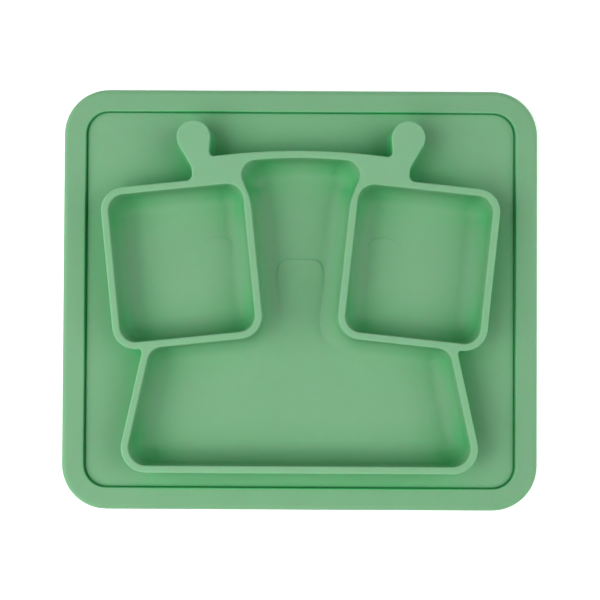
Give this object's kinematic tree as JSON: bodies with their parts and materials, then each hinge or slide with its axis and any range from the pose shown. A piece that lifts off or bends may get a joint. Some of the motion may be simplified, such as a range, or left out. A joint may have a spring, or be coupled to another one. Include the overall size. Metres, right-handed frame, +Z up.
{
  "type": "suction plate",
  "caption": "Rectangular green silicone feeding mat with raised walled compartments in the shape of a face, a raised border and suction cups underneath.",
  "frame": {"origin": "middle of the footprint, on the table under the lips of the suction cups", "axes": "+X to the right, along the mat's long side; +Y to the back, towards the two horns; +Z up"},
  "size_m": [0.26, 0.23, 0.03],
  "materials": {
    "tray_silicone": "matte, food-grade silicone, sage green",
    "frame_silicone": "matte, food-grade silicone, sage green",
    "cup_silicone": "smooth, softer translucent silicone"
  },
  "bodies": {
    "plate": {"divided_tray": "tray_silicone", "border_frame": "frame_silicone"},
    "cup_front_left": {"suction_cup_front_left": "cup_silicone"},
    "cup_front_right": {"suction_cup_front_right": "cup_silicone"},
    "cup_rear_left": {"suction_cup_rear_left": "cup_silicone"},
    "cup_rear_right": {"suction_cup_rear_right": "cup_silicone"}
  },
  "joints": [
    {"name": "cup_front_left_press", "type": "slide", "parent": "plate", "child": "cup_front_left", "axis": [0, 0, 1], "range_m": [0, 0.002], "stiffness_N_per_m": 3000, "deforming": ["suction_cup_front_left"]},
    {"name": "cup_front_right_press", "type": "slide", "parent": "plate", "child": "cup_front_right", "axis": [0, 0, 1], "range_m": [0, 0.002], "stiffness_N_per_m": 3000, "deforming": ["suction_cup_front_right"]},
    {"name": "cup_rear_left_press", "type": "slide", "parent": "plate", "child": "cup_rear_left", "axis": [0, 0, 1], "range_m": [0, 0.002], "stiffness_N_per_m": 3000, "deforming": ["suction_cup_rear_left"]},
    {"name": "cup_rear_right_press", "type": "slide", "parent": "plate", "child": "cup_rear_right", "axis": [0, 0, 1], "range_m": [0, 0.002], "stiffness_N_per_m": 3000, "deforming": ["suction_cup_rear_right"]}
  ]
}
